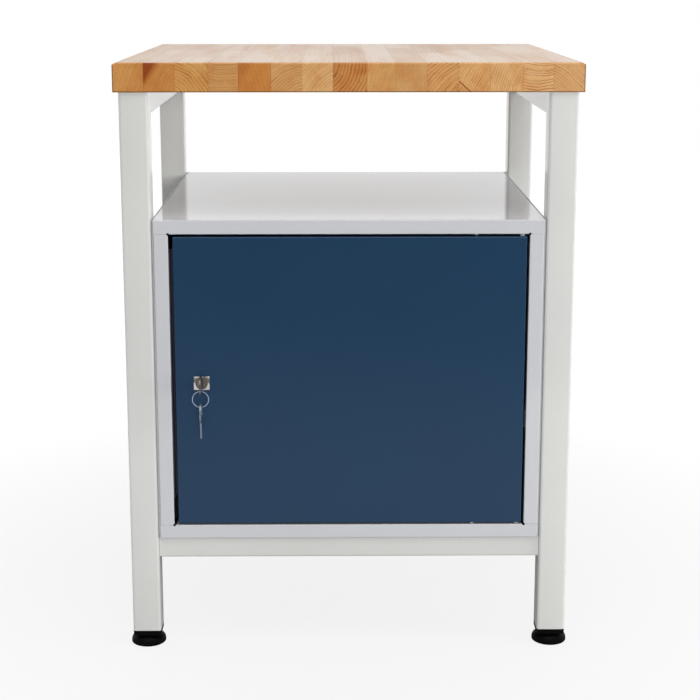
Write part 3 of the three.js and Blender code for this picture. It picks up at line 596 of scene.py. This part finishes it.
# Cam lock: die cast body with a nearly square rosette, nickel plated, clamped in the door
# by a hexagon nut. Its collar and plug are worn by the key; the plug turns the flat steel cam
# behind the door stop.
nickel = plated_metal("nickel_plate", linear(194, 191, 187), 0.2)
worn_nickel = plated_metal("worn_nickel_plate", linear(150, 139, 124), 0.36)
plug_low, plug_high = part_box("lock_plug")
lock_axis = (plug_low + plug_high) / 2
COLLAR_RADIUS = 0.0086
lock_body = finished_copy("lock_body", nickel, edge=0.0003)
lock_body.data.materials.append(worn_nickel)
for polygon in lock_body.data.polygons:
    from_axis = polygon.center - lock_axis
    if math.hypot(from_axis.x, from_axis.z) < COLLAR_RADIUS:
        polygon.material_index = 1
finished_copy("lock_plug", worn_nickel, edge=0.0003)
finished_copy("lock_nut", zinc, edge=0.0004)
finished_copy("lock_cam", zinc, edge=0.0003)
finished_copy("cam_screw", zinc, edge=0.0004)


# Keys: two flat keys punched from nickel plated sheet, a handled one in the lock and a
# spare one, hanging together on a ring of bright spring wire. The key in the lock has a
# darker copy of the nickel: painted shade.
key_nickel = plated_metal("key_nickel_plate", linear(150, 161, 174), 0.5)
ring_wire = plated_metal("spring_wire", linear(190, 206, 226), 0.35)
# A darker copy of the key nickel for the key in the lock: painted shade.
shaded_key_nickel = plated_metal("shaded_key_nickel_plate", linear(118, 122, 128), 0.45)
finished_copy("door_key", shaded_key_nickel, edge=0.0003)
finished_copy("spare_key", key_nickel, edge=0.0003)
finished_copy("key_ring", ring_wire, edge=0)


# Studio: white paper on the floor that keeps the bench's soft shadow and fades to pure
# white further out, a white surround that is darker behind the camera, and soft lamps.
paper, tree, shader = new_material("floor_paper")
shader.inputs["Base Color"].default_value = (0.42, 0.42, 0.42, 1)
shader.inputs["Roughness"].default_value = 0.9
place = add_node(tree, "TexCoord", -900, 300)
distance = add_node(tree, "VectorMath", -700, 300, operation="LENGTH")
tree.links.new(place.outputs["Object"], distance.inputs[0])


def paper_white(near, far, level, y):
    """How white the paper looks: the level up to the near distance, pure at the far one."""
    return remap(tree, distance.outputs["Value"], near, far, level, 1, -500, y, "SMOOTHSTEP")


def mirror_ray(path, x, y):
    """1 for a ray that left a mirror or passed through glass, else 0."""
    return math_node(path.id_data, "MAXIMUM", path.outputs["Is Glossy Ray"],
                     path.outputs["Is Transmission Ray"], x, y)


light_path = add_node(tree, "LightPath", -500, 600)
mirrored = mirror_ray(light_path, -400, 700)
on_paper = paper_white(0.35, 1.5, 0.8, 300)
in_view = math_node(tree, "MULTIPLY", light_path.outputs["Is Camera Ray"], on_paper, -300, 500)
in_mirror = math_node(tree, "MULTIPLY", mirrored, paper_white(0.35, 0.9, 0, 100), -300, 300)
seen = math_node(tree, "MAXIMUM", in_view, in_mirror, -100, 400)
white = add_node(tree, "Emission", -200, -300)
white.inputs["Strength"].default_value = 1.06
blend = add_node(tree, "MixShader", 300, 0)
tree.links.new(seen, blend.inputs["Fac"])
tree.links.new(shader.outputs[0], blend.inputs[1])
tree.links.new(white.outputs[0], blend.inputs[2])
tree.links.new(blend.outputs[0], tree.nodes["Material Output"].inputs["Surface"])
floor_mesh = bpy.data.meshes.new("floor")
FLOOR_LEVEL = -0.0002  # just under the pads
FLOOR_FRONT = -1.7
FLOOR_REACH = 6  # to the sides and to the back
floor_mesh.from_pydata(
    [(-FLOOR_REACH, FLOOR_FRONT, FLOOR_LEVEL), (FLOOR_REACH, FLOOR_FRONT, FLOOR_LEVEL),
     (FLOOR_REACH, FLOOR_REACH, FLOOR_LEVEL), (-FLOOR_REACH, FLOOR_REACH, FLOOR_LEVEL)],
    [], [(0, 1, 2, 3)])
floor_mesh.materials.append(paper)
floor = bpy.data.objects.new("floor", floor_mesh)
scene.collection.objects.link(floor)

world = bpy.data.worlds.new("studio")
scene.world = world
world.use_nodes = True
tree = world.node_tree
background = tree.nodes["Background"]
light_path = add_node(tree, "LightPath", -900, 200)
ray = add_node(tree, "TexCoord", -1100, -200)
direction = add_node(tree, "SeparateXYZ", -900, -200)
tree.links.new(ray.outputs["Generated"], direction.inputs[0])


def room_light(front, back, y):
    """How bright the room is, from behind the camera round to behind the bench."""
    return remap(tree, direction.outputs["Y"], -0.8, 0.6, front, back, -700, y, "SMOOTHSTEP")


mirrored = mirror_ray(light_path, -700, 100)
around = add_node(tree, "Mix", -480, 0)
tree.links.new(mirrored, around.inputs["Factor"])
tree.links.new(room_light(0.12, 1.0, -100), around.inputs["A"])

# What plating and gloss paint mirror besides the room: two white panels beside the
# camera and a lit ceiling.
sideways = math_node(tree, "ABSOLUTE", direction.outputs["X"], 0, -900, -1100)
aside = remap(tree, sideways, 0.25, 0.4, 0, 1, -700, -1100)
raised = remap(tree, direction.outputs["Z"], 0.08, 0.2, 0, 1, -700, -900)
in_front = remap(tree, direction.outputs["Y"], -0.82, -0.74, 1.6, 0, -700, -1300)
panels = math_node(tree, "MULTIPLY", in_front, math_node(
    tree, "MULTIPLY", aside, raised, -580, -1000), -480, -1000)
zenith = remap(tree, direction.outputs["Z"], 0.6, 0.9, 0, 1.1, -700, -700)
overhead = math_node(tree, "MAXIMUM", panels, zenith, -480, -800)
room_mirrored = math_node(tree, "MAXIMUM", room_light(0.2, 1.1, -400), overhead, -580, -400)
tree.links.new(room_mirrored, around.inputs["B"])
strength = math_node(tree, "MAXIMUM", around.outputs["Result"],
                     light_path.outputs["Is Camera Ray"], -280, 0)
background.inputs["Color"].default_value = (1, 1, 1, 1)
tree.links.new(strength, background.inputs["Strength"])


def soft_lamp(name, location, target, size, power, mirrored=True):
    """A rectangular lamp, in metres and watts, turned towards a target."""
    data = bpy.data.lights.new(name, "AREA")
    data.shape = "RECTANGLE"
    data.size, data.size_y = size
    data.energy = power
    lamp = bpy.data.objects.new(name, data)
    scene.collection.objects.link(lamp)
    lamp.visible_glossy = mirrored
    lamp.location = location
    lamp.rotation_euler = (Vector(target) - Vector(location)).to_track_quat("-Z", "Y").to_euler()


soft_lamp("front", (0.9, -7.0, 1.1), (0, 0, 0.75), (1.8, 1.0), 192, mirrored=False)
soft_lamp("right", (2.6, -0.9, 0.85), (0, 0, 0.65), (1.2, 1.2), 33, mirrored=False)
soft_lamp("left", (-2.6, -0.9, 0.85), (0, 0, 0.65), (1.2, 1.2), 4, mirrored=False)
soft_lamp("top", (0.2, -1.4, 2.9), (0, 0, 0.7), (2.2, 1.4), 26)
soft_lamp("shelf_edge", (0.2, -0.775, 2.8), (0.2, -0.28, 0.7), (2.2, 0.12), 5, mirrored=False)
